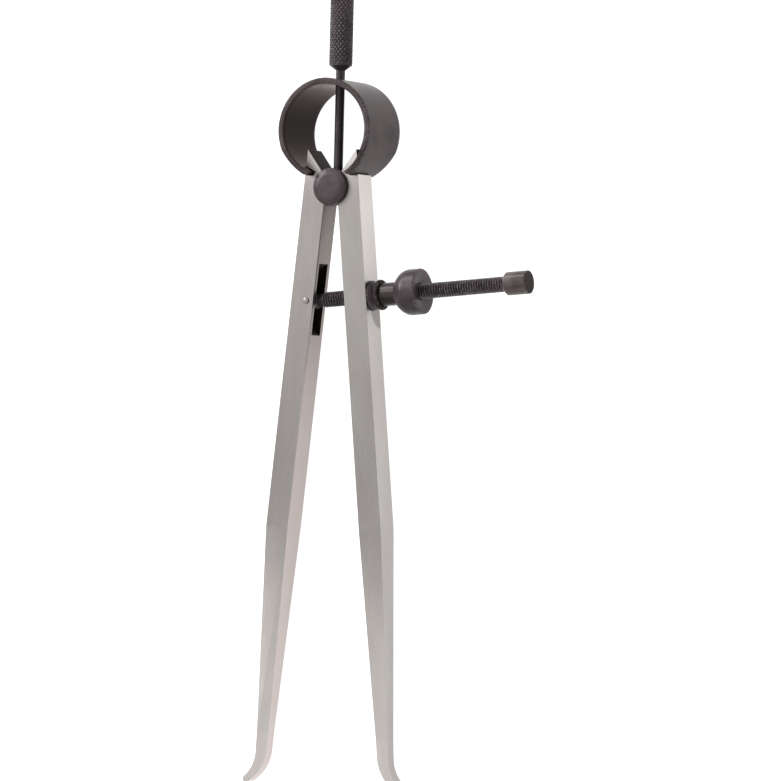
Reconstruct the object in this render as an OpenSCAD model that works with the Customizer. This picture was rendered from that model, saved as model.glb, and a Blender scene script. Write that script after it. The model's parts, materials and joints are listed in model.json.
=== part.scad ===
// Inside spring caliper, lying on its back: two ground steel legs rock on a fulcrum,
// a bow spring loads them and a nut on a cross screw sets the opening.
// Caliper plane: X across, Y up the handle, Z out of the front, fulcrum centre at zero.

/* [Legs] */
// Half angle between the legs as they lie
rest_angle = 5.7; // [4.5:0.05:7]
// Distance from the fulcrum centre to each leg's inner face
inner_gap = 1.6; // [1.3:0.05:1.9]
// Width of a leg seen from the front
leg_w = 6.15; // [5.8:0.1:7]
// Thickness of a leg from front to back
leg_t = 6.9; // [6.4:0.1:8]
// Distance below the fulcrum where the width starts to taper
taper_start = 86; // [76:1:90]
// Distance below the fulcrum where the thickness starts to taper
thin_start = 86; // [66:1:90]
// Distance below the fulcrum where the thickness reaches that of the foot
taper_end = 138; // [125:1:140]
// Thickness of the foot from front to back
foot_t = 3.1; // [2.6:0.1:3.8]
// Height of the leg's pointed top above the fulcrum
horn_h = 8.6; // [7.8:0.1:9.2]
// Angle between the bevel of the leg's top and the leg
bevel_angle = 42.25; // [40:0.25:46]

/* [Feet] */
// Distance below the fulcrum where the inner face curls outwards
foot_start = 142.2; // [140:0.2:144]
// Distance below the fulcrum where the outer face turns outwards
foot_turn = 142.8; // [140:0.2:143]
// Width of the leg at that turn
turn_w = 3.05; // [2.6:0.1:3.6]
// Radius of the curled sole
sole_r = 10.6; // [9.8:0.1:11.4]
// Angle through which the sole curls
toe_angle = 55; // [50:1:60]
// Radius of the rounded toe
toe_r = 0.85; // [0.7:0.05:1]

/* [Fulcrum] */
// Radius of the roll that the legs rock on
roll_r = 3.1; // [2.7:0.05:3.4]
// Running clearance of the legs on the roll and between its heads
roll_clear = 0.1; // [0.05:0.01:0.2]
// Radius of the round heads
head_r = 4.7; // [4.2:0.1:5.2]
// Thickness of a head
head_t = 1.2; // [0.9:0.1:1.6]
// Bevel round the edge of a head
head_bevel = 0.7; // [0.2:0.05:0.9]

/* [Bow spring] */
// Outer radius of the bow
bow_r = 12.9; // [12.5:0.1:13.3]
// Thickness of the spring strip
bow_strip = 1.5; // [1.2:0.05:1.8]
// Width of the spring strip from front to back
bow_w = 16.5; // [14:0.5:18]
// Width that the strip tapers to at its ends
bow_end_w = 12.4; // [11:0.2:13.6]
// Depth below the bow's centre where that taper starts
bow_narrow = 5; // [2:0.5:7]
// Height of the bow's centre above the fulcrum
bow_h = 14; // [13.7:0.1:14.3]
// Angle from straight down to each end of the strip
bow_end = 25.5; // [24.5:0.5:27]
// Height above the fulcrum of the bow's ends, which are cut flat underneath
bow_foot = 2.9; // [2.7:0.05:3.1]
// Lean of the straight notches that the bow's ends sit in
notch_lean = 29; // [28:0.5:30]
// Clearance of the strip in its notches
notch_clear = 0.25; // [0.2:0.05:0.4]
// Clearance under the bow's ends
foot_clear = 0.1; // [0.05:0.05:0.2]

/* [Handle] */
// Radius of the stem
stem_r = 1.15; // [0.9:0.05:1.25]
// Height above the fulcrum centre where the stem is seated in the roll
stem_seat = 0.6; // [0:0.1:1]
// Clearance of the stem in the roll
stem_fit = 0.02; // [0.01:0.01:0.05]
// Clearance of the stem in the bow's hole
bow_hole_clear = 0.15; // [0.1:0.05:0.3]
// Radius of the knurled grip
grip_r = 2.85; // [2.4:0.05:3.4]
// Height above the fulcrum where the grip starts
grip_h = 29.2; // [28.5:0.1:33]
// Length of the grip
grip_l = 33; // [24:1:45]
// Length of the cone between stem and grip
grip_cone = 1.25; // [0.8:0.05:2]
// Bevel round the grip's far end
grip_bevel = 0.6; // [0.3:0.1:1]

/* [Screw] */
// Radius of the screw over its thread
screw_r = 1.95; // [1.6:0.05:2]
// Angle of the screw above square to the handle
screw_rise = 5; // [4.5:0.1:6]
// Distance of the screw's pin below the fulcrum, along the left leg
pin_d = 28.9; // [26:0.1:31]
// Depth of the pin behind the left leg's inner face
pin_depth = 1.9; // [1.7:0.05:2.2]
// Radius of the pin
pin_r = 0.75; // [0.6:0.05:0.9]
// Clearance round the pin in the screw's eye
pin_clear = 0.05; // [0.03:0.01:0.1]
// How far the pin stands out of each face of the leg
pin_proud = 0.24; // [0:0.02:0.3]
// Radius of the screw's eye
eye_r = 2.1; // [2:0.05:2.3]
// Side clearance of the eye in the slot
eye_clear = 0.3; // [0.2:0.05:0.5]
// Length of the screw from its pin to the far face of the cap
screw_l = 60.4; // [56:0.2:70]
// Length of the cap
cap_l = 6.5; // [5.5:0.1:8]
// Radius of the cap
cap_r = 2.9; // [2.6:0.05:3.3]
// Bevel on the cap's inner end
cap_bevel = 0.8; // [0.4:0.1:0.9]
// Bevel on the cap's outer end
cap_edge = 0.2; // [0.1:0.05:0.4]
// How far the screw enters the cap
cap_grip = 5; // [3:0.1:5.2]
// Clearance of the screw in the cap
cap_fit = 0.02; // [0.01:0.01:0.05]

/* [Slot] */
// Width of the milled slot from front to back
slot_w = 4.4; // [4.2:0.05:4.8]
// Length of the slot on the inner face
slot_l = 18; // [15:0.5:20]
// Deepest place of the slot behind the inner face
slot_depth = 4.4; // [4.3:0.05:4.8]
// Distance from the fulcrum to the middle of the slot, along the leg
slot_d = 28.4; // [27.5:0.1:29.5]
// Length of the hole through the right leg, along the leg
hole_l = 6.4; // [5.8:0.1:6.6]

/* [Nut and washers] */
// Radius of the domed seat washer
seat_r = 3.75; // [3.6:0.05:4]
// Height of the seat washer
seat_h = 1.75; // [1.6:0.05:2]
// Height of the seat washer's straight rim
seat_rim = 0.5; // [0.4:0.05:0.7]
// Room round the screw in the seat washer, for the screw's tilt
seat_room = 1; // [0.9:0.05:1.1]
// Gap between the seat washer and the thrust washer
seat_gap = 0.35; // [0.3:0.05:0.5]
// Radius of the thrust washer
thrust_r = 3.8; // [3.6:0.05:4.2]
// Thickness of the thrust washer
thrust_t = 1.05; // [0.9:0.05:1.4]
// Bevel round both edges of the thrust washer
thrust_bevel = 0.4; // [0.2:0.05:0.45]
// Clearance of the washer and the nut on the screw
thread_clear = 0.1; // [0.06:0.02:0.2]
// Radius of the nut's barrel
barrel_r = 2.9; // [2.7:0.05:3.2]
// Length of the nut's barrel
barrel_l = 4.2; // [3.5:0.1:5.5]
// Radius of the nut's bell
bell_r = 5.7; // [5.2:0.05:6]
// Length of the steep inner cone of the bell's back
bell_cone = 1.2; // [0.9:0.1:1.6]
// Radius where that cone meets the shallow outer one
cone_r = 4.5; // [4:0.1:5]
// Length of the bell's whole back
bell_back = 4; // [3.2:0.1:4.5]
// Length of the bell's straight rim
bell_rim = 3; // [2.5:0.1:4]
// Bevel on the bell's front edge
bell_edge = 0.3; // [0.2:0.05:0.5]
// Radius of the shallow dish in the bell's front
dish_r = 4.6; // [4:0.1:4.8]
// Depth of that dish
dish_depth = 0.6; // [0.3:0.1:1]

/* [Hidden] */
$fn = 96;
STEEL = "#a9a7a4";
BLACK = "#4d494b";
// Spare length of cutting shapes past the faces they cut
over = 1;
// Chords that each curled outline is drawn with
arc_steps = 18;

// Leg outline, in the leg's own frame with the leg straight down
outer_x = inner_gap + leg_w;
bevel_y = horn_h - leg_w / tan(bevel_angle);
sole_x = inner_gap + sole_r;
toe = [sole_x - (sole_r - toe_r) * cos(toe_angle), -foot_start - (sole_r - toe_r) * sin(toe_angle)];
turn = [inner_gap + turn_w, -foot_turn];
toe_reach = -toe.y + toe_r;
from_toe = turn - toe;
// Round instep: leaves the tapered outer face at the turn and runs into the rounded toe
outer_run = [outer_x, -taper_start] - turn;
instep_side = [outer_run.y, -outer_run.x] / norm(outer_run);
instep_r = (pow(norm(from_toe), 2) - pow(toe_r, 2)) / (2 * (toe_r - instep_side * from_toe));
instep_at = turn + instep_r * instep_side;
instep_from = atan2(toe.y - instep_at.y, toe.x - instep_at.x);
instep_to = atan2(-instep_side.y, -instep_side.x) - 360;
sole = [for (i = [0:arc_steps]) let (a = toe_angle * i / arc_steps)
    [sole_x - sole_r * cos(a), -foot_start - sole_r * sin(a)]];
toe_from = 180 + toe_angle;
toe_to = 360 + instep_from + 180;
toe_arc = [for (i = [1:arc_steps]) let (a = toe_from + (toe_to - toe_from) * i / arc_steps)
    toe + toe_r * [cos(a), sin(a)]];
instep = [for (i = [1:arc_steps]) let (a = instep_from + (instep_to - instep_from) * i / arc_steps)
    instep_at + instep_r * [cos(a), sin(a)]];
cutter_r = (pow(slot_l / 2, 2) + pow(slot_depth, 2)) / (2 * slot_depth);

// Screw line: nearly square to the right leg, through the pin in the left leg
pin_n = inner_gap + pin_depth;
pin_at = [-pin_n * cos(rest_angle) - pin_d * sin(rest_angle),
          pin_n * sin(rest_angle) - pin_d * cos(rest_angle)];
screw_lean = screw_rise - rest_angle;
pin_below = pin_d * cos(2 * rest_angle) - pin_n * sin(2 * rest_angle);
face_s = (outer_x + pin_d * sin(2 * rest_angle) + pin_n * cos(2 * rest_angle)) / cos(screw_lean);
hole_d = pin_below - face_s * sin(screw_lean);
thrust_s = face_s + seat_h + seat_gap;
nut_s = thrust_s + thrust_t;
eye_w = slot_w - 2 * eye_clear;
seat_bore = screw_r + seat_room;
// Centre and radius of the seat washer's dome, through its rim and its bore's edge
dome_h = (pow(seat_bore, 2) + pow(seat_h, 2) - pow(seat_r, 2) - pow(seat_rim, 2))
    / (2 * (seat_h - seat_rim));
dome_r = norm([seat_r, seat_rim - dome_h]);

// How it lies: on the bow's back edge where the strip starts to narrow, and on both toes
toe_at = [toe.x * cos(rest_angle) - toe.y * sin(rest_angle),
          toe.x * sin(rest_angle) + toe.y * cos(rest_angle)];
toe_low = toe_at.y - toe_r;
lay_tilt = atan((bow_w - foot_t) / 2 / (bow_h - bow_narrow - toe_low));
floor_z = toe_low * sin(lay_tilt) - foot_t / 2 * cos(lay_tilt);
grip_end = grip_h + grip_l;
x_low = -toe_at.x - toe_r;
x_high = pin_at.x + screw_l * cos(screw_rise) + (cap_r - cap_edge) * sin(screw_rise);
y_low = toe_low * cos(lay_tilt) - foot_t / 2 * sin(lay_tilt);
y_high = grip_end * cos(lay_tilt) + (grip_r - grip_bevel) * sin(lay_tilt);

module lay() {
    translate([-(x_low + x_high) / 2, -(y_low + y_high) / 2, -floor_z]) rotate([lay_tilt, 0, 0]) children();
}

module at_rest() {
    rotate([0, 0, rest_angle]) children();
}

// Local Z runs along the screw, from its pin
module along_screw(s = 0) {
    translate([pin_at.x, pin_at.y, 0]) rotate([0, 0, screw_rise]) rotate([0, 90, 0])
        translate([0, 0, s]) children();
}

// Local Z runs out of the right leg's outer face, on the screw's line
module on_right_face() {
    at_rest() translate([outer_x, -hole_d, 0]) rotate([0, 90, 0]) children();
}

module leg_outline() {
    polygon(concat([[inner_gap, bevel_y]], sole, toe_arc, instep,
                   [[outer_x, -taper_start], [outer_x, horn_h]]));
}

// Outline from points along one side, and the same points mirrored on the other
module both_sides(half) {
    mirrored = [for (i = [len(half) - 1:-1:0]) [half[i].x, -half[i].y]];
    polygon(concat(half, mirrored));
}

module leg_side() {
    both_sides([[horn_h + over, leg_t / 2], [-thin_start, leg_t / 2], [-taper_end, foot_t / 2],
                [-toe_reach - over, foot_t / 2]]);
}

module bow_notch() {
    end_run = (bow_r - bow_strip) * sin(notch_lean - bow_end) + notch_clear;
    rotate([0, 0, -rest_angle]) translate([0, bow_h, 0]) rotate([0, 0, notch_lean])
        translate([-end_run, -bow_r - notch_clear, -leg_t])
            cube([leg_w + end_run, bow_strip + 2 * notch_clear, 2 * leg_t]);
}

// Keeps the notch above the flat underside of the bow's end
module notch_room() {
    rotate([0, 0, -rest_angle]) translate([0, bow_foot - foot_clear, -leg_t])
        cube([2 * outer_x, horn_h, 2 * leg_t]);
}

// One leg in its own frame: tapered blank, groove for the roll, notch for the bow and milled slot
module leg() {
    difference() {
        intersection() {
            linear_extrude(leg_t, center = true) leg_outline();
            rotate([90, 0, 90]) linear_extrude(2 * (outer_x + sole_r)) leg_side();
        }
        cylinder(h = leg_t + over, r = roll_r + roll_clear, center = true);
        intersection() {
            bow_notch();
            notch_room();
        }
        translate([inner_gap + slot_depth - cutter_r, -slot_d, 0])
            cylinder(h = slot_w, r = cutter_r, center = true);
    }
}

module left_leg() {
    color(STEEL) lay() mirror([1, 0, 0]) at_rest() difference() {
        leg();
        translate([pin_n, -pin_d, 0]) cylinder(h = leg_t + over, r = pin_r, center = true);
    }
}

module right_leg() {
    color(STEEL) lay() at_rest() difference() {
        leg();
        translate([inner_gap + slot_depth - over, -hole_d, 0]) rotate([0, 90, 0]) oblong_hole(leg_w);
    }
}

// Hole with round ends, long across the leg's length
module oblong_hole(depth) {
    reach = (hole_l - slot_w) / 2;
    for (end = [-reach, reach]) translate([0, end, 0]) cylinder(h = depth, d = slot_w);
    translate([-slot_w / 2, -reach, 0]) cube([slot_w, 2 * reach, depth]);
}

module fulcrum() {
    roll_l = leg_t + 2 * roll_clear;
    color(BLACK) lay() difference() {
        union() {
            cylinder(h = roll_l, r = roll_r, center = true);
            for (side = [0, 1]) mirror([0, 0, side]) translate([0, 0, roll_l / 2]) fulcrum_head();
        }
        translate([0, stem_seat, 0]) rotate([-90, 0, 0]) cylinder(h = roll_r, r = stem_r + stem_fit);
    }
}

module fulcrum_head() {
    rotate_extrude() polygon([
        [0, 0], [head_r, 0], [head_r, head_t - head_bevel], [head_r - head_bevel, head_t], [0, head_t]]);
}

module bow_side() {
    both_sides([[bow_r + over, bow_w / 2], [-bow_narrow, bow_w / 2], [bow_foot - bow_h, bow_end_w / 2]]);
}

module bow_spring() {
    color(BLACK) lay() translate([0, bow_h, 0]) difference() {
        intersection() {
            rotate([0, 0, bow_end - 90]) rotate_extrude(angle = 360 - 2 * bow_end)
                translate([bow_r - bow_strip, -bow_w / 2]) square([bow_strip, bow_w]);
            rotate([90, 0, 90]) linear_extrude(2 * (bow_r + over), center = true) bow_side();
        }
        rotate([-90, 0, 0]) cylinder(h = bow_r + over, r = stem_r + bow_hole_clear);
    }
}

module handle() {
    color(BLACK) lay() rotate([-90, 0, 0]) rotate_extrude() polygon([
        [0, stem_seat], [stem_r, stem_seat], [stem_r, grip_h], [grip_r, grip_h + grip_cone],
        [grip_r, grip_end - grip_bevel], [grip_r - grip_bevel, grip_end], [0, grip_end]]);
}

module adjusting_screw() {
    color(BLACK) lay() along_screw() difference() {
        union() {
            cylinder(h = screw_l - cap_l + cap_grip, r = screw_r);
            rotate([0, 90, 0]) cylinder(h = eye_w, r = eye_r, center = true);
        }
        rotate([0, 90, 0]) cylinder(h = eye_w + over, r = pin_r + pin_clear, center = true);
    }
}

module screw_pin() {
    color(STEEL) lay() along_screw() rotate([0, 90, 0])
        cylinder(h = leg_t + 2 * pin_proud, r = pin_r, center = true);
}

module seat_washer() {
    color(BLACK) lay() on_right_face() difference() {
        intersection() {
            cylinder(h = seat_h, r = seat_r);
            translate([0, 0, dome_h]) sphere(r = dome_r);
        }
        translate([0, 0, -over]) cylinder(h = seat_h + 2 * over, r = seat_bore);
    }
}

module thrust_washer() {
    bore = screw_r + thread_clear;
    color(BLACK) lay() along_screw(thrust_s) rotate_extrude() polygon([
        [bore, 0], [thrust_r - thrust_bevel, 0], [thrust_r, thrust_bevel],
        [thrust_r, thrust_t - thrust_bevel], [thrust_r - thrust_bevel, thrust_t], [bore, thrust_t]]);
}

module adjusting_nut() {
    bore = screw_r + thread_clear;
    back_to = barrel_l + bell_back;
    front = back_to + bell_rim;
    color(BLACK) lay() along_screw(nut_s) rotate_extrude() polygon([
        [bore, 0], [barrel_r, 0], [barrel_r, barrel_l], [cone_r, barrel_l + bell_cone],
        [bell_r, back_to], [bell_r, front - bell_edge], [bell_r - bell_edge, front],
        [dish_r, front], [bore, front - dish_depth]]);
}

module screw_cap() {
    bore = screw_r + cap_fit;
    color(BLACK) lay() along_screw(screw_l - cap_l) rotate_extrude() polygon([
        [bore, 0], [cap_r - cap_bevel, 0], [cap_r, cap_bevel], [cap_r, cap_l - cap_edge],
        [cap_r - cap_edge, cap_l], [0, cap_l], [0, cap_grip], [bore, cap_grip]]);
}

left_leg();
right_leg();
fulcrum();
bow_spring();
handle();
adjusting_screw();
screw_pin();
seat_washer();
thrust_washer();
adjusting_nut();
screw_cap();
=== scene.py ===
"""Inside spring caliper on a white floor: ground steel legs, the other pieces blackened."""
import json
from math import acos, asin, ceil, cos, hypot, pi, radians, sin, sqrt, tan

import bmesh
import bpy
from mathutils import Matrix, Vector


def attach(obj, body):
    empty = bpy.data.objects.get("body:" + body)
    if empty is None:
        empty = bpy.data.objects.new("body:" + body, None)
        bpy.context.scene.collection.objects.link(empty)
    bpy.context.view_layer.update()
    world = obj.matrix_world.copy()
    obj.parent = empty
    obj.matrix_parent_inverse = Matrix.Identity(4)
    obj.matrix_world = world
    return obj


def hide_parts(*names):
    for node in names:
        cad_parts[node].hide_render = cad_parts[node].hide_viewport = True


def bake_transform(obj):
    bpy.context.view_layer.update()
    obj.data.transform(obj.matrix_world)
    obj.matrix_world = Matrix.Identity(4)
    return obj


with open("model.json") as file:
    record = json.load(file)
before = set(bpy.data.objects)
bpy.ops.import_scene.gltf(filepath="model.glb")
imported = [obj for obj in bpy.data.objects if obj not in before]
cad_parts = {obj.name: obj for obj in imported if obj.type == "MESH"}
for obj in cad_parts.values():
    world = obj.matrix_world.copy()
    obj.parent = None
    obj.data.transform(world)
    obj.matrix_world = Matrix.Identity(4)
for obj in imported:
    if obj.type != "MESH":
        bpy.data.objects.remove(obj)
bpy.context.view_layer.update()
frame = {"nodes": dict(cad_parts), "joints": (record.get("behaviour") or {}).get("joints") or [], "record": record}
NODES = frame["nodes"]
RECORD = frame["record"]
JOINTS = {joint["name"]: joint for joint in frame["joints"]}
MM = 0.001

# The caliper's own directions at rest, from its joints and its grip: FRONT towards the viewer, UP the handle
FULCRUM = Vector(JOINTS["right_leg_swing"]["pos_m"])
FRONT = Vector(JOINTS["right_leg_swing"]["axis"]).normalized()
UP = Vector(RECORD["mounts"][0]["axis"]).normalized()
RIGHT = UP.cross(FRONT)
PIN = Vector(JOINTS["screw_tilt"]["pos_m"])
NUT = Vector(JOINTS["nut_spin"]["pos_m"])
SCREW = Vector(JOINTS["nut_spin"]["axis"]).normalized()

# Sizes in millimetres and degrees. WEAR is how bare an edge is rubbed, from 0 to 1
# Legs
REST_ANGLE = 5.7
INNER_GAP = 1.6
LEG_W = 6.15
LEG_T = 6.9
LEG_EDGE = 0.24
SLOT_W = 4.4
SLOT_L = 18.0
SLOT_DEPTH = 4.4
SLOT_D = 28.4

# Fulcrum
ROLL_R = 3.1
ROLL_PLAY = 0.1
ROLL_L = LEG_T + 2 * ROLL_PLAY
HEAD_R = 4.7
HEAD_T = 1.2
HEAD_BEVEL = 15.0
HEAD_BEVEL_W = 1.1
HEAD_PROUD = 0.1
HEAD_WEAR = 0.12

# Bow spring
BOW_R = 12.9
BOW_STRIP = 1.5
BOW_W = 16.5
BOW_END_W = 12.4
BOW_NARROW = 5.0
BOW_H = 14.0
BOW_END = 25.5
BOW_FOOT = 2.9
BOW_EDGE = 0.3
BOW_HOLE_R = 1.3
BOW_CORNER_WEAR = 0.25
BOW_RIM_WEAR = 0.06

# Handle
STEM_R = 1.15
STEM_SEAT = 0.6
GRIP_R = 2.85
GRIP_H = 29.2
GRIP_L = 33.0
GRIP_CONE = 1.25
GRIP_BEVEL = 0.6
KNURL_PITCH = 0.9
KNURL_RISE = 1.3
KNURL_DEPTH = 0.26
KNURL_RAISE = 0.1
KNURL_FADE = 0.3
KNURL_FLAT = 1.35
KNURL_WEAR = 0.5

# Screw with its eye, pin and cap
SCREW_R = 1.95
SCREW_L = 60.4
THREAD_PITCH = 0.7
THREAD_DEPTH = 0.4
THREAD_FLANK = 1.45
THREAD_FLOOR = 0.2
THREAD_WEAR = 0.5
EYE_R = 2.1
EYE_W = 3.8
EYE_ROUND = 0.2
NECK_L = 0.9
PIN_R = 0.75
PIN_PROUD = 0.24
PIN_FIT = 0.05
PIN_SUNK = 0.06
CAP_L = 6.5
CAP_R = 2.9
CAP_BEVEL = 0.8
CAP_GRIP = 5.0
CAP_FIT = 0.02
CAP_ROUND = 0.22
CAP_GAP = 0.1

# Nut and washers
SEAT_R = 3.75
SEAT_H = 1.75
SEAT_RIM = 0.5
SEAT_ROOM = 1.0
SEAT_BORE = SCREW_R + SEAT_ROOM
SEAT_EDGE = 0.15
SEAT_WEAR = 0.2
THRUST_R = 3.8
THRUST_T = 1.05
THRUST_ROUND = 0.5
THREAD_CLEAR = 0.1
THREAD_BORE = SCREW_R + THREAD_CLEAR
BARREL_R = 2.9
BARREL_L = 4.2
BELL_FROM = 3.1
BELL_CURVE = 2.2
BELL_R = 5.7
BELL_BACK = 4.0
BELL_RIM = 3.0
DISH_R = 4.6
DISH_DEPTH = 0.6
NUT_ROUND = 0.45

# Middle of a turned piece's rounded corner
CORNER_WEAR = 0.3

# Soft tones along a leg, one table for each face: painted light and shade, as the faces are lit copies of one
# steel, and partly where the grinding changed. Millimetres below the fulcrum, and how bright
FRONT_LIGHT_AND_SHADE = ((-8, 0.66), (-5, 0.64), (0, 0.36), (9, 0.365), (38, 0.355), (68, 0.315), (88, 0.34),
               (104, 0.465), (130, 0.61))
OUTER_LIGHT_AND_SHADE = ((0, 0.88), (12, 0.86), (30, 0.66), (68, 0.615), (104, 0.58), (130, 0.565))
INNER_LIGHT_AND_SHADE = ((0, 0.22), (12, 0.25), (45, 0.55), (68, 0.635), (104, 0.67), (130, 0.8))
LEG_FACES = (("front", FRONT_LIGHT_AND_SHADE, "#ffffff"), ("outer", OUTER_LIGHT_AND_SHADE, "#ffffff"),
             ("inner", INNER_LIGHT_AND_SHADE, "#fff8f7"))
LEG_TOP = 10.0
LEG_REACH = 160.0

# Painted shadow of the seat washer and nut on the right leg's outer face: millimetres below and in front of the
# fulcrum, half its length and its width
WASHER_SHADOW = (31.5, -4.95, 4.4, 4.8)
WASHER_SHADOW_TONE = 0.56

# Photograph's view of the caliper: its angles, and where the fulcrum lies in the picture
VIEW_YAW = 28.6
VIEW_PITCH = -2.8
VIEW_ROLL = 1.4
VIEW_DISTANCE = 1.1
PIXELS_PER_MM = 4.0
FULCRUM_PIXEL = (337.8, 187.5)
PICTURE = (780, 781)
SENSOR_MM = 36.0

# Soft lights: name, place and aim in metres, width and height in metres, watts
LIGHTS = (
    ("light_over", (-0.58, 0.06, 1.05), (0, 0, 0), (1.5, 1.7), 8.5),
    ("light_top_left", (-0.62, 0.85, 0.4), (0, 0.03, 0), (0.7, 0.35), 6.5),
    ("light_left", (-0.85, 0.42, 0.65), (0, 0.04, 0), (0.35, 0.35), 7),
    ("light_right", (0.95, 0.05, 0.52), (0, -0.02, 0), (0.25, 0.9), 0.8),
    ("light_bottom", (0.0, -1.0, 0.45), (0, 0.03, 0), (0.7, 0.5), 3))
FLOOR_REACH = 3.0

# Sockets of a colour Mix node: its factor, its two colours and its result
MIX_FACTOR, MIX_A, MIX_B, MIX_RESULT = 0, 6, 7, 2


def axes(x, y, z, origin):
    """Matrix that places a piece drawn in millimetres along three directions from an origin."""
    turn = Matrix((x, y, z)).transposed().to_4x4()
    return Matrix.Translation(origin) @ turn @ Matrix.Scale(MM, 4)


CALIPER = axes(RIGHT, UP, FRONT, FULCRUM)
ALONG_HANDLE = axes(FRONT, RIGHT, UP, FULCRUM)
ALONG_SCREW = axes(FRONT, SCREW.cross(FRONT), SCREW, PIN)
FROM_NUT = axes(FRONT, SCREW.cross(FRONT), SCREW, NUT)


def linear(hex_colour):
    """An sRGB hex colour as linear RGBA."""
    parts = [int(hex_colour[i:i + 2], 16) / 255 for i in (1, 3, 5)]
    return [p / 12.92 if p <= 0.04045 else ((p + 0.055) / 1.055) ** 2.4 for p in parts] + [1.0]


def add_node(tree, kind, links=None, **settings):
    """One shader node with its settings, and with each named input set or linked."""
    node = tree.nodes.new("ShaderNode" + kind)
    for name, value in settings.items():
        setattr(node, name, value)
    for socket, value in (links or {}).items():
        if isinstance(value, bpy.types.NodeSocket):
            tree.links.new(value, node.inputs[socket])
        else:
            node.inputs[socket].default_value = value
    return node


def new_material(name):
    """An empty material and its node tree."""
    material = bpy.data.materials.new(name)
    material.use_nodes = True
    material.node_tree.nodes.clear()
    return material, material.node_tree


def ground_steel(name, lean, light_and_shade, tint="#ffffff", shadow_patch=None):
    """Carbon steel, surface-ground along the leg: satin grey, fine lengthwise lines, soft cloudy patches, with
    painted light and shade banded along the leg and, where given, a painted shadow patch.
    """
    material, tree = new_material(name)
    place = add_node(tree, "TexCoord")
    from_fulcrum = add_node(tree, "VectorMath", {0: place.outputs["Object"], 1: FULCRUM},
                            operation="SUBTRACT")
    on_leg = add_node(tree, "Mapping", {"Vector": from_fulcrum.outputs[0], "Rotation": (0, 0, radians(lean))})
    # Grit lines 0.25 mm apart and about 20 mm long, drawn coarser than the real grit so that they show
    lines_at = add_node(tree, "Mapping", {"Vector": on_leg.outputs[0], "Scale": (4000, 50, 4000)})
    lines = add_node(tree, "TexNoise", {"Vector": lines_at.outputs[0], "Scale": 1.0, "Detail": 3.0})
    # Cloudy patches 12 mm across and 30 mm long
    clouds_at = add_node(tree, "Mapping", {"Vector": on_leg.outputs[0], "Scale": (80, 33, 80)})
    clouds = add_node(tree, "TexNoise", {"Vector": clouds_at.outputs[0], "Scale": 1.0, "Detail": 3.0})
    cloud_tint = add_node(tree, "ValToRGB", {"Fac": clouds.outputs["Fac"]})
    cloud_tint.color_ramp.elements[0].position = 0.3
    cloud_tint.color_ramp.elements[0].color = linear("#d5cfcd")
    cloud_tint.color_ramp.elements[1].position = 0.7
    cloud_tint.color_ramp.elements[1].color = linear("#e1dcd7")
    along = add_node(tree, "SeparateXYZ", {0: on_leg.outputs[0]})
    share = add_node(tree, "MapRange", {"Value": along.outputs["Y"], "From Min": LEG_TOP * MM,
                                        "From Max": -LEG_REACH * MM})
    # Painted light and shade in soft bands along the leg, from its tone table
    light_and_shade_bands = add_node(tree, "ValToRGB", {"Fac": share.outputs[0]})
    light_and_shade_bands.color_ramp.interpolation = "B_SPLINE"
    for i, (below, tone) in enumerate(light_and_shade):
        stop = light_and_shade_bands.color_ramp.elements[i] if i < 2 else light_and_shade_bands.color_ramp.elements.new(1.0)
        stop.position = (LEG_TOP + below) / (LEG_TOP + LEG_REACH)
        stop.color = [tone * part for part in linear(tint)[:3]] + [1.0]
    streak = add_node(tree, "MapRange", {"Value": lines.outputs["Fac"], "From Min": 0.3, "From Max": 0.7,
                                         "To Min": 0.95, "To Max": 1.04})
    # Painted shadow of the seat washer and nut: the steel darkens inside an ellipse on the leg
    if shadow_patch:
        below, front, half_l, half_w = shadow_patch
        shadow_at = add_node(tree, "Mapping", {
            "Vector": on_leg.outputs[0], "Scale": (0, 1 / (half_l * MM), 1 / (half_w * MM)),
            "Location": (0, below / half_l, -front / half_w)})
        from_shadow = add_node(tree, "VectorMath", {0: shadow_at.outputs[0]}, operation="LENGTH")
        unshaded = add_node(tree, "MapRange", {"Value": from_shadow.outputs["Value"], "From Min": 0.9,
                                          "From Max": 1.05, "To Min": WASHER_SHADOW_TONE, "To Max": 1.0})
        streak = add_node(tree, "Math", {0: streak.outputs[0], 1: unshaded.outputs[0]}, operation="MULTIPLY")
    banded = add_node(tree, "Mix", {
        MIX_FACTOR: 1.0, MIX_A: cloud_tint.outputs["Color"], MIX_B: light_and_shade_bands.outputs["Color"]},
        data_type="RGBA", blend_type="MULTIPLY")
    colour = add_node(tree, "Mix", {
        MIX_FACTOR: 1.0, MIX_A: banded.outputs[MIX_RESULT], MIX_B: streak.outputs[0]},
        data_type="RGBA", blend_type="MULTIPLY")
    gloss = add_node(tree, "MapRange", {"Value": lines.outputs["Fac"], "From Min": 0.3, "From Max": 0.7,
                                        "To Min": 0.32, "To Max": 0.42})
    bump = add_node(tree, "Bump", {"Height": lines.outputs["Fac"], "Strength": 0.1, "Distance": 0.00002})
    shader = add_node(tree, "BsdfPrincipled", {
        "Base Color": colour.outputs[MIX_RESULT], "Metallic": 1.0, "Roughness": gloss.outputs[0],
        "Normal": bump.outputs["Normal"]})
    add_node(tree, "OutputMaterial", {"Surface": shader.outputs[0]})
    return material


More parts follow.
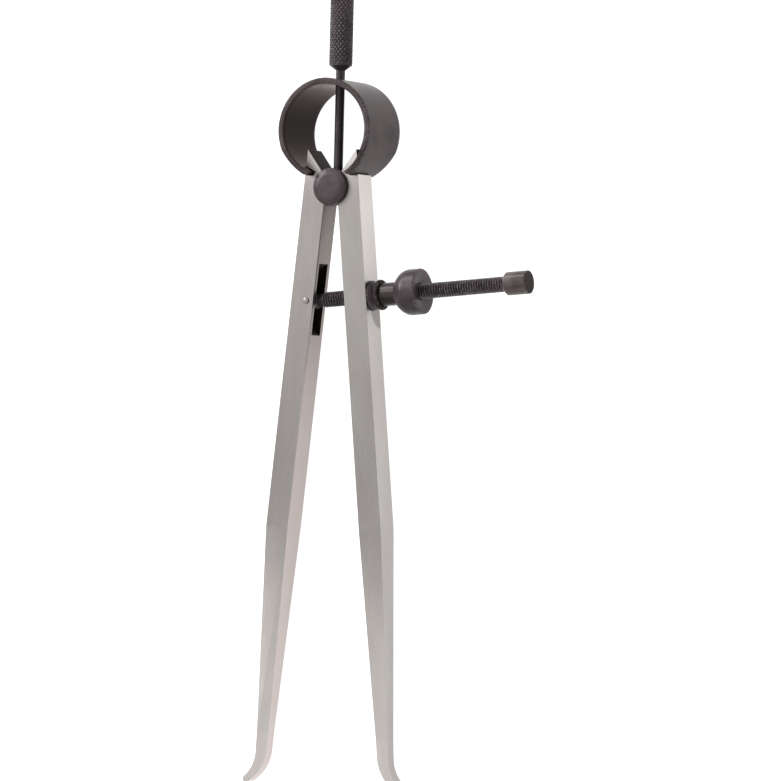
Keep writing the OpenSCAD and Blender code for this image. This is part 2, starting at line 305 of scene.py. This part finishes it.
def black_oxide(name, dark, light, rough, shine, tint="#fff9f8"):
    """Steel blackened in hot salts: near-black satin, faint brown-violet mottle, edges rubbed grey."""
    material, tree = new_material(name)
    place = add_node(tree, "TexCoord")
    # Mottle 6 mm across, matt grain 0.15 mm across, rubbed spots 0.6 mm across
    mottle = add_node(tree, "TexNoise", {"Vector": place.outputs["Object"], "Scale": 160.0, "Detail": 4.0})
    grain = add_node(tree, "TexNoise", {"Vector": place.outputs["Object"], "Scale": 6700.0, "Detail": 2.0})
    spots = add_node(tree, "TexNoise", {"Vector": place.outputs["Object"], "Scale": 1700.0, "Detail": 2.0})
    tone = add_node(tree, "ValToRGB", {"Fac": mottle.outputs["Fac"]})
    tone.color_ramp.elements[0].position = 0.3
    tone.color_ramp.elements[0].color = linear(dark)
    tone.color_ramp.elements[1].position = 0.72
    tone.color_ramp.elements[1].color = linear(light)
    worn = add_node(tree, "Attribute", attribute_name="wear")
    spotted = add_node(tree, "MapRange", {"Value": spots.outputs["Fac"], "From Min": 0.42, "From Max": 0.66})
    rubbed_and_lit = add_node(tree, "Math", {0: worn.outputs["Fac"], 1: spotted.outputs[0]}, operation="MULTIPLY")
    colour = add_node(tree, "Mix", {
        MIX_FACTOR: rubbed_and_lit.outputs[0], MIX_A: tone.outputs["Color"], MIX_B: linear("#a39c9a")},
        data_type="RGBA")
    gloss = add_node(tree, "MapRange", {"Value": mottle.outputs["Fac"], "From Min": 0.3, "From Max": 0.7,
                                        "To Min": rough - 0.05, "To Max": rough + 0.06})
    bump = add_node(tree, "Bump", {"Height": grain.outputs["Fac"], "Strength": 0.1, "Distance": 0.00003})
    shader = add_node(tree, "BsdfPrincipled", {
        "Base Color": colour.outputs[MIX_RESULT], "Metallic": 0.3, "Roughness": gloss.outputs[0],
        "Specular IOR Level": shine, "Specular Tint": linear(tint), "Normal": bump.outputs["Normal"]})
    add_node(tree, "OutputMaterial", {"Surface": shader.outputs[0]})
    return material


def floor_white():
    """White table lit from within, so that the part lies in almost no shadow."""
    material, tree = new_material("lit_table")
    fibres = add_node(tree, "TexNoise", {"Scale": 900.0, "Detail": 2.0})
    tone = add_node(tree, "ValToRGB", {"Fac": fibres.outputs["Fac"]})
    tone.color_ramp.elements[0].color = linear("#a0a0a0")
    tone.color_ramp.elements[1].color = linear("#a6a6a6")
    shader = add_node(tree, "BsdfPrincipled", {
        "Base Color": tone.outputs["Color"], "Roughness": 0.9, "Emission Color": linear("#ffffff"),
        "Emission Strength": 0.97})
    add_node(tree, "OutputMaterial", {"Surface": shader.outputs[0]})
    return material


def finish_piece(name, vertices, faces, place, body, material, node, wear, smooth_angle=40.0):
    """A mesh drawn in millimetres, placed, shaded, given its finish, put in place of its CAD node, which it hides,
    and tied to its body if it has one.
    """
    mesh = bpy.data.meshes.new(name)
    mesh.from_pydata([place @ Vector(v) for v in vertices], [], faces)
    shape = bmesh.new()
    shape.from_mesh(mesh)
    bmesh.ops.recalc_face_normals(shape, faces=shape.faces)
    shape.to_mesh(mesh)
    shape.free()
    mesh.attributes.new("wear", "FLOAT", "POINT").data.foreach_set("value", wear)
    mesh.shade_smooth()
    mesh.set_sharp_from_angle(angle=radians(smooth_angle))
    piece = bpy.data.objects.new(name, mesh)
    bpy.context.scene.collection.objects.link(piece)
    mesh.materials.append(material)
    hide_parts(node)
    if body:
        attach(piece, body)
    return piece


def rounded(profile, radius, steps=6):
    """Profile of (r, z) points with every sharp corner off the axis rounded, as far as its edges allow.

    Each point comes with its wear, most in the middle of a rounded corner and none elsewhere.
    """
    out = []
    count = len(profile)
    for i, (r, z) in enumerate(profile):
        before, here, after = Vector(profile[i - 1]), Vector((r, z)), Vector(profile[(i + 1) % count])
        to_before, to_after = before - here, after - here
        opening = to_before.angle(to_after)
        if r < 1e-6 or opening > radians(160):
            out.append((r, z, 0.0))
            continue
        reach = min(radius / tan(opening / 2), 0.45 * to_before.length, 0.45 * to_after.length)
        first = here + to_before.normalized() * reach
        last = here + to_after.normalized() * reach
        for k in range(steps + 1):
            t = k / steps
            point = (1 - t) ** 2 * first + 2 * t * (1 - t) * here + t * t * last
            out.append((point.x, point.y, CORNER_WEAR * sin(pi * t)))
    return out


def turned(profile, segments=112):
    """Vertices, faces and wear of a closed profile turned about its z axis. Points on the axis are poles."""
    angles = [2 * pi * k / segments for k in range(segments)]
    vertices, faces, rings, wear = [], [], [], []
    for r, z, worn in profile:
        count = 1 if r < 1e-6 else segments
        rings.append(list(range(len(vertices), len(vertices) + count)))
        vertices += [(r * cos(angle), r * sin(angle), z) for angle in angles[:count]]
        wear += [worn] * count
    for ring, after in zip(rings, rings[1:] + rings[:1]):
        for k in range(segments):
            n = (k + 1) % segments
            if len(ring) > 1 and len(after) > 1:
                faces.append((ring[k], ring[n], after[n], after[k]))
            elif len(ring) > 1:
                faces.append((ring[k], ring[n], after[0]))
            elif len(after) > 1:
                faces.append((ring[0], after[n], after[k]))
    return vertices, faces, wear


def wave(t):
    """Triangle wave from 0 at whole numbers to 1 half-way between them."""
    return 1 - abs(2 * (t % 1) - 1)


def swept_rod(rows, segments, form):
    """Rod along z, closed at both ends. Its form gives radius and wear at an angle and a height."""
    vertices, faces, wear = [], [], []
    for z in rows:
        for k in range(segments):
            angle = 2 * pi * k / segments
            r, worn = form(angle, z)
            vertices.append((r * cos(angle), r * sin(angle), z))
            wear.append(worn)
    for i in range(len(rows) - 1):
        for k in range(segments):
            n = (k + 1) % segments
            faces.append((i * segments + k, i * segments + n, (i + 1) * segments + n, (i + 1) * segments + k))
    last = (len(rows) - 1) * segments
    faces.append(tuple(reversed(range(segments))))
    faces.append(tuple(range(last, last + segments)))
    return vertices, faces, wear


def spaced(start, stop, step):
    """Even values from start to stop, at most a step apart."""
    count = max(1, ceil(abs(stop - start) / step))
    return [start + (stop - start) * i / count for i in range(count + 1)]


def handle(material):
    """Stem, cone and grip turned in one, with a diamond knurl rolled into the grip."""
    grip_end = GRIP_H + GRIP_L
    knurl_from = GRIP_H + GRIP_CONE
    knurl_to = grip_end - GRIP_BEVEL
    around = round(2 * pi * GRIP_R / KNURL_PITCH)

    def form(angle, z):
        if z <= GRIP_H:
            return STEM_R, 0.0
        if z < knurl_from:
            return STEM_R + (GRIP_R - STEM_R) * (z - GRIP_H) / GRIP_CONE, 0.0
        if z > knurl_to:
            return GRIP_R - (z - knurl_to), 0.0
        turns = around * angle / (2 * pi)
        climb = (z - knurl_from) / KNURL_RISE
        tooth = min(1.0, KNURL_FLAT * min(wave(turns + climb), wave(turns - climb)))
        fade = max(0.0, min(1.0, (z - knurl_from) / KNURL_FADE, (knurl_to - z) / KNURL_FADE))
        return GRIP_R + (KNURL_RAISE - KNURL_DEPTH * (1 - tooth)) * fade, KNURL_WEAR * tooth ** 3 * fade

    rows = spaced(STEM_SEAT, GRIP_H, 4.0) + spaced(GRIP_H, knurl_from, 0.3)[1:-1]
    rows += spaced(knurl_from, knurl_to, KNURL_RISE / 9) + [grip_end]
    vertices, faces, wear = swept_rod(rows, around * 8, form)
    return finish_piece("knurled_handle", vertices, faces, ALONG_HANDLE, "frame", material,
                        "handle", wear, smooth_angle=50.0)


def threaded_screw(material):
    """Screw with its rolled thread, a plain neck and the flat eye that turns on the pin."""
    neck_from, thread_from = EYE_R * 0.6, EYE_R + NECK_L
    end = SCREW_L - CAP_L + CAP_GRIP - CAP_GAP
    root = SCREW_R - THREAD_DEPTH

    def form(angle, z):
        if z < thread_from:
            return root, 0.0
        crest = wave(z / THREAD_PITCH - angle / (2 * pi))
        height = min(1.0, max(0.0, THREAD_FLANK * crest - THREAD_FLOOR))
        height *= min(1.0, (z - thread_from) / THREAD_PITCH)
        return root + THREAD_DEPTH * height, THREAD_WEAR * height ** 4

    rows = [neck_from] + spaced(thread_from, end, THREAD_PITCH / 9)
    vertices, faces, wear = swept_rod(rows, 44, form)
    hole_r, half_w = PIN_R + PIN_FIT, EYE_W / 2
    eye = [(hole_r, -half_w), (EYE_R, -half_w), (EYE_R, half_w), (hole_r, half_w)]
    ring, ring_faces, ring_wear = turned(rounded(eye, EYE_ROUND), 64)
    base = len(vertices)
    vertices += [(z, y, x) for x, y, z in ring]
    faces += [tuple(base + i for i in face) for face in ring_faces]
    return finish_piece("threaded_screw", vertices, faces, ALONG_SCREW, "screw", material,
                        "adjusting_screw", wear + ring_wear, smooth_angle=60.0)


def turned_piece(name, profile, radius, place, body, material, node):
    """Blackened piece turned from a profile whose sharp corners get one radius."""
    vertices, faces, wear = turned(rounded(profile, radius))
    return finish_piece(name, vertices, faces, place, body, material, node, wear)


def nut(material, oiled):
    """Adjusting nut: oiled barrel against the washers, smooth bell, shallow dish round the screw."""
    front = BARREL_L + BELL_BACK + BELL_RIM
    profile = [(THREAD_BORE, 0), (BARREL_R, 0), (BARREL_R, BARREL_L)]
    for i in range(13):
        share = i / 12
        swell = 1 - (1 - share) ** BELL_CURVE
        profile.append((BELL_FROM + (BELL_R - BELL_FROM) * swell, BARREL_L + BELL_BACK * share))
    profile += [(BELL_R, front), (DISH_R, front), (THREAD_BORE, front - DISH_DEPTH)]
    piece = turned_piece("nut", profile, NUT_ROUND, FROM_NUT, "nut", material, "adjusting_nut")
    piece.data.materials.append(oiled)
    to_nut = FROM_NUT.inverted()
    for face in piece.data.polygons:
        face.material_index = 1 if (to_nut @ face.center).z < BARREL_L else 0


def thrust_ring(material):
    """Plain ring between the seat washer and the nut."""
    profile = [(THREAD_BORE, -THRUST_T), (THRUST_R, -THRUST_T), (THRUST_R, 0), (THREAD_BORE, 0)]
    return turned_piece("thrust_ring", profile, THRUST_ROUND, FROM_NUT, "washer", material, "thrust_washer")


def cap(material, shaded_end):
    """Cylindrical stop pressed on the screw's free end; its end face, turned from the light, takes a dull dark
    copy as painted shade.
    """
    bore = SCREW_R + CAP_FIT
    profile = [(bore, 0), (CAP_R - CAP_BEVEL, 0), (CAP_R, CAP_BEVEL), (CAP_R, CAP_L), (0, CAP_L),
               (0, CAP_GRIP), (bore, CAP_GRIP)]
    place = ALONG_SCREW @ Matrix.Translation((0, 0, SCREW_L - CAP_L))
    piece = turned_piece("cap", profile, CAP_ROUND, place, "screw", material, "screw_cap")
    piece.data.materials.append(shaded_end)
    # End face in the dull dark copy: painted shade
    for face in piece.data.polygons:
        face.material_index = 1 if face.normal.dot(SCREW) > 0.9 else 0


def screw_pin(material, black_and_shade):
    """Pin that the screw's eye turns on: ends slightly proud of the leg, broken edge, sides in a dark copy as
    painted shade round its ends.
    """
    top = LEG_T / 2 + PIN_PROUD
    end = [(PIN_R, LEG_T / 2 - PIN_SUNK, 0), (PIN_R, top - 0.1, 0), (PIN_R - 0.04, top - 0.03, 0),
           (PIN_R - 0.12, top, 0), (0, top, 0)]
    vertices, faces, wear = turned([(r, -z, worn) for r, z, worn in reversed(end)] + end, 48)
    piece = finish_piece("cross_pin", vertices, faces, axes(RIGHT, UP, FRONT, PIN), "left_leg", material,
                         "screw_pin", wear)
    piece.data.materials.append(black_and_shade)
    # Sides in the dark copy: painted shade round the pin's ends
    for face in piece.data.polygons:
        face.material_index = 1 if abs(face.normal.dot(FRONT)) < 0.7 else 0


def seat_ring(material, black_and_shade):
    """Domed seat washer on the right leg's outer face, round the screw, with its rim in a dull dark copy as
    painted shade where it meets the leg.
    """
    outward = cos(radians(REST_ANGLE)) * RIGHT + sin(radians(REST_ANGLE)) * UP
    outer_x = (INNER_GAP + LEG_W) * MM
    reach = (outer_x - (PIN - FULCRUM).dot(outward)) / SCREW.dot(outward)
    place = axes(FRONT, outward.cross(FRONT), outward, PIN + reach * SCREW)
    dome_h = (SEAT_BORE ** 2 + SEAT_H ** 2 - SEAT_R ** 2 - SEAT_RIM ** 2) / (2 * (SEAT_H - SEAT_RIM))
    dome_r = hypot(SEAT_R, SEAT_RIM - dome_h)
    dome = [SEAT_R + (SEAT_BORE - SEAT_R) * i / 10 for i in range(11)]
    profile = [(SEAT_BORE, 0, 0), (SEAT_R - SEAT_EDGE, 0, 0), (SEAT_R, SEAT_EDGE, SEAT_WEAR),
               (SEAT_R, SEAT_RIM - 0.08, SEAT_WEAR)]
    profile += [(r, dome_h + sqrt(dome_r ** 2 - r * r), 0.0) for r in dome[1:]]
    vertices, faces, wear = turned(profile)
    piece = finish_piece("seat_ring", vertices, faces, place, "right_leg", material,
                         "seat_washer", wear)
    piece.data.materials.append(black_and_shade)
    # Rim in the dark copy: painted shade where the washer meets the leg
    to_seat = place.inverted()
    for face in piece.data.polygons:
        face.material_index = 1 if (to_seat @ face.center).z < SEAT_RIM else 0


def bevelled_head(side):
    """Profile of one fulcrum head from its inner edge to its axis: rounded edge, wide bevel, flat face."""
    # Runs inwards from the rim and their tilt: the rolled edge, the bevel, then a soft change to flat
    steps = [(0.03, 80), (0.05, 65), (0.07, 50), (0.08, 37), (0.08, 25),
             (HEAD_BEVEL_W, HEAD_BEVEL), (0.2, 10), (0.2, 6), (0.2, 3)]
    rise = sum(run * tan(radians(tilt)) for run, tilt in steps)
    r, z = HEAD_R, ROLL_L / 2 + HEAD_T + HEAD_PROUD - rise
    profile = [(HEAD_R, ROLL_L / 2, 0.0), (r, z, 0.0)]
    for run, tilt in steps:
        r, z = r - run, z + run * tan(radians(tilt))
        profile.append((r, z, HEAD_WEAR if tilt > 45 else 0.0))
    return [(r, side * z, worn) for r, z, worn in profile + [(0.0, z, 0.0)]]


def fulcrum(material):
    """Round bar that the legs rock on, between two bevelled heads."""
    roll = [(ROLL_R, -ROLL_L / 2, 0.0), (ROLL_R, ROLL_L / 2, 0.0)]
    profile = bevelled_head(-1)[::-1] + roll + bevelled_head(1)
    vertices, faces, wear = turned(profile, 96)
    return finish_piece("fulcrum_roll", vertices, faces, CALIPER, "frame", material,
                        "fulcrum", wear)


def bow_half(side, material, inside):
    """One half of the bow: a flat strip with rolled edges, bent round, half of the stem's hole at its top."""
    half_w, half_t = BOW_W / 2 - BOW_EDGE, BOW_STRIP / 2
    middle_r = BOW_R - half_t
    near_hole = [BOW_HOLE_R * sin(pi / 2 * k / 6) for k in range(-6, 7)]
    beyond = [BOW_HOLE_R + (half_w - BOW_HOLE_R) * k / 8 for k in range(1, 9)]
    across = [-w for w in reversed(beyond)] + near_hole + beyond
    corner = [(sin(radians(a)), cos(radians(a))) for a in (22.5, 45, 67.5, 90)]
    edge = [(half_w + BOW_EDGE * x, half_t - BOW_EDGE + BOW_EDGE * y) for x, y in corner]
    edge += [(w, -t) for w, t in reversed(edge)]
    loop = [(w, half_t) for w in across] + edge + [(w, -half_t) for w in reversed(across)]
    loop += [(-w, -t) for w, t in edge]
    stations, count, flat = 72, len(loop), len(across)
    vertices, wear = [], []
    end_below = BOW_H - BOW_FOOT
    for i in range(stations + 1):
        for w, t in loop:
            r = middle_r + t
            start = asin(sqrt(max(0.0, BOW_HOLE_R ** 2 - w * w)) / r)
            end = pi - max(radians(BOW_END), acos(min(1.0, end_below / r)))
            angle = start + (end - start) * i / stations
            below = max(0.0, -r * cos(angle) - BOW_NARROW) / (end_below - BOW_NARROW)
            narrowed = 1 - (1 - BOW_END_W / BOW_W) * below
            vertices.append((side * r * sin(angle), BOW_H + r * cos(angle), w * narrowed))
            rim_wear = BOW_CORNER_WEAR if t > half_t - BOW_EDGE else BOW_RIM_WEAR
            wear.append(rim_wear if abs(w) > half_w + 0.1 else 0.0)
    faces = []
    for i in range(stations):
        for k in range(count):
            n = (k + 1) % count
            faces.append((i * count + k, i * count + n, (i + 1) * count + n, (i + 1) * count + k))
    turn = flat + len(edge)
    for row in (0, stations * count):
        for k in range(flat - 1):
            other = turn + flat - 1 - k
            faces.append((row + k, row + k + 1, row + other - 1, row + other))
        faces.append(tuple(row + k for k in range(flat - 1, turn + 1)))
        faces.append(tuple(row + k for k in list(range(turn + flat - 1, count)) + [0]))
    name = "bow_spring_right" if side > 0 else "bow_spring_left"
    piece = finish_piece(name, vertices, faces, CALIPER, None, material,
                         "bow_spring", wear)
    # Inner faces of the strip take the darker copy: painted shade inside the bow
    piece.data.materials.append(inside)
    for i in range(stations * count):
        if turn <= i % count < turn + flat - 1:
            piece.data.polygons[i].material_index = 1
    bend = radians(BOW_END)
    end = CALIPER @ Vector((side * BOW_R * sin(bend), BOW_H - BOW_R * cos(bend), 0))
    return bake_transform(piece)


def dress_leg(node, side, black_and_shade):
    """Ground finish on a leg's long faces, and the blackened rest: milled slot, horn, notch and groove. The horn's
    outer face above the bow's foot is dark partly as painted shade.
    """
    leg = NODES[node]
    mesh = leg.data
    mesh.materials.clear()
    lean = -side * REST_ANGLE
    for face, light_and_shade, tint in LEG_FACES:
        # Only the right leg's outer face carries the washer's painted shadow
        shadow_patch = WASHER_SHADOW if (node, face) == ("right_leg", "outer") else None
        mesh.materials.append(ground_steel(f"{node}_{face}_ground_steel", lean, light_and_shade, tint, shadow_patch))
    mesh.materials.append(black_and_shade)
    cutter_r = ((SLOT_L / 2) ** 2 + SLOT_DEPTH ** 2) / (2 * SLOT_DEPTH)
    cutter_x = INNER_GAP + SLOT_DEPTH - cutter_r
    to_right = Matrix.Diagonal((side, 1, 1, 1)) @ CALIPER.inverted()
    to_leg = Matrix.Rotation(radians(-REST_ANGLE), 4, "Z") @ to_right
    for face in mesh.polygons:
        here = to_leg @ face.center
        facing = (to_leg.to_3x3() @ face.normal).normalized()
        in_slot = (abs(here.z) < SLOT_W / 2 + 0.01 and here.x > INNER_GAP + 0.02
                   and hypot(here.x - cutter_x, here.y + SLOT_D) < cutter_r + 0.05)
        # The horn's outer face above the bow's foot goes dark too, partly as painted shade
        at_top = here.y > -ROLL_R - 0.3 and abs(facing.z) < 0.5 and (facing.x < 0.9 or here.y > BOW_FOOT)
        if in_slot or at_top:
            face.material_index = 3
        elif abs(facing.z) > 0.5:
            face.material_index = 0
        else:
            face.material_index = 1 if facing.x > 0 else 2
    weld = leg.modifiers.new("weld", "WELD")
    weld.merge_threshold = 1e-6
    edge = leg.modifiers.new("edge_break", "BEVEL")
    edge.width = LEG_EDGE * MM
    edge.segments = 3
    edge.limit_method = "ANGLE"
    edge.angle_limit = radians(28)
    edge.harden_normals = True


def camera():
    """Long lens at the photograph's angle, turned so that the fulcrum falls on its pixel."""
    yaw, pitch, roll = (radians(a) for a in (VIEW_YAW, VIEW_PITCH, VIEW_ROLL))
    right = cos(yaw) * RIGHT - sin(yaw) * FRONT
    back = sin(yaw) * cos(pitch) * RIGHT + sin(pitch) * UP + cos(yaw) * cos(pitch) * FRONT
    up = back.cross(right)
    rolled_right = cos(roll) * right + sin(roll) * up
    rolled_up = cos(roll) * up - sin(roll) * right
    view = Matrix((rolled_right, rolled_up, back)).transposed()
    focal_pixels = PIXELS_PER_MM * VIEW_DISTANCE / MM
    x, y = FULCRUM_PIXEL
    to_fulcrum = Vector((x - PICTURE[0] / 2, PICTURE[1] / 2 - y, -focal_pixels))
    aim = to_fulcrum.rotation_difference(Vector((0, 0, -1)))
    lens = bpy.data.cameras.new("camera")
    lens.sensor_fit = "HORIZONTAL"
    lens.sensor_width = SENSOR_MM
    lens.lens = focal_pixels / PICTURE[0] * SENSOR_MM
    lens.clip_end = 20
    seen = bpy.data.objects.new("camera", lens)
    stand = Matrix.Translation(FULCRUM + back * VIEW_DISTANCE)
    seen.matrix_world = stand @ (view @ aim.to_matrix()).to_4x4()
    bpy.context.scene.collection.objects.link(seen)
    bpy.context.scene.camera = seen


def soft_light(name, place, target, size, power):
    """Rectangular light at a place, turned to a target."""
    lamp = bpy.data.lights.new(name, "AREA")
    lamp.shape = "RECTANGLE"
    lamp.size, lamp.size_y = size
    lamp.energy = power
    light = bpy.data.objects.new(name, lamp)
    light.location = place
    light.rotation_euler = (Vector(target) - Vector(place)).to_track_quat("-Z", "Y").to_euler()
    bpy.context.scene.collection.objects.link(light)


def studio():
    """White floor, even grey surroundings and soft lights."""
    mesh = bpy.data.meshes.new("floor")
    corners = [(x * FLOOR_REACH, y * FLOOR_REACH, 0) for x, y in ((-1, -1), (1, -1), (1, 1), (-1, 1))]
    mesh.from_pydata(corners, [], [(0, 1, 2, 3)])
    mesh.materials.append(floor_white())
    floor = bpy.data.objects.new("floor", mesh)
    bpy.context.scene.collection.objects.link(floor)
    world = bpy.data.worlds.new("surroundings")
    world.use_nodes = True
    world.node_tree.nodes["Background"].inputs["Color"].default_value = linear("#8c8987")
    world.node_tree.nodes["Background"].inputs["Strength"].default_value = 1.0
    bpy.context.scene.world = world
    for light in LIGHTS:
        soft_light(*light)
    bpy.context.scene.view_settings.view_transform = "Standard"


camera()
studio()
# One black oxide in six states: satin where it is handled, browner outside the bow, darker inside it as painted
# shade and glossier, dark with a sharp shine under oil, lighter on the cap's side as painted light, and dull in
# cuts and as painted shade
handled = black_oxide("black_oxide", "#353033", "#554d50", 0.36, 0.18)
browned = black_oxide("black_oxide_browned", "#302a2b", "#4f4547", 0.36, 0.18)
shaded_inside = black_oxide("black_oxide_shaded_inside", "#080606", "#110c0c", 0.2, 0.06, "#ffeae7")
oiled = black_oxide("black_oxide_oiled", "#221d1e", "#342d2e", 0.27, 0.32)
rubbed_and_lit = black_oxide("black_oxide_lit_copy", "#433c3d", "#685e5e", 0.34, 0.2)
dull_and_shade = black_oxide("slot_scale_and_painted_shade", "#1f1918", "#2c2422", 0.6, 0.15)
dress_leg("left_leg", -1, dull_and_shade)
dress_leg("right_leg", 1, dull_and_shade)
handle(handled)
fulcrum(handled)
threaded_screw(handled)
bow_half(-1, browned, shaded_inside)
bow_half(1, browned, shaded_inside)
nut(handled, oiled)
# Thrust ring in the dull dark copy: darker as painted shade between the seat washer and the nut
thrust_ring(dull_and_shade)
# Cap: a lighter oxide copy on its side as painted light, the dull copy on its end as painted shade
cap(rubbed_and_lit, dull_and_shade)
# Pin: steel with the front faces' painted light and shade, its sides dark as painted shade
screw_pin(ground_steel("pin_ground_steel", 0, FRONT_LIGHT_AND_SHADE), dull_and_shade)
seat_ring(handled, dull_and_shade)
